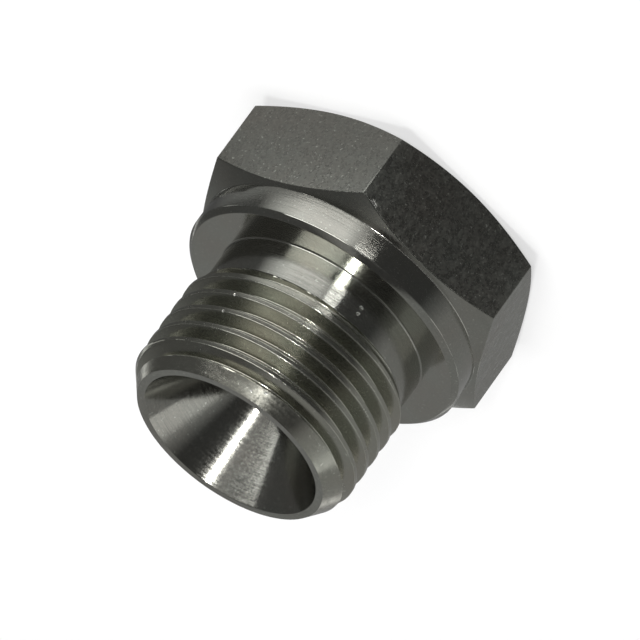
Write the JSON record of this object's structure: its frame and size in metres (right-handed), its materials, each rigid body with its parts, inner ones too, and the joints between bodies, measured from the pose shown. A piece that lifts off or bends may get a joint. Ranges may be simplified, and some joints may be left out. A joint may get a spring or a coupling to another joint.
{
  "type": "external hex head blanking plug",
  "caption": "Steel blanking plug with an external hex head, a round collar with a seal face, a plain neck, a parallel pipe thread and a cone seat in its end.",
  "frame": {"origin": "centre of the outer face of the hex head, on the axis", "axes": "+Z along the axis, out of the thread end; +X through a corner of the hex"},
  "size_m": [0.0312, 0.027, 0.0259],
  "materials": {
    "plated_steel": "zinc plated, turned"
  },
  "bodies": {
    "root": {"plug": "plated_steel"}
  },
  "joints": []
}
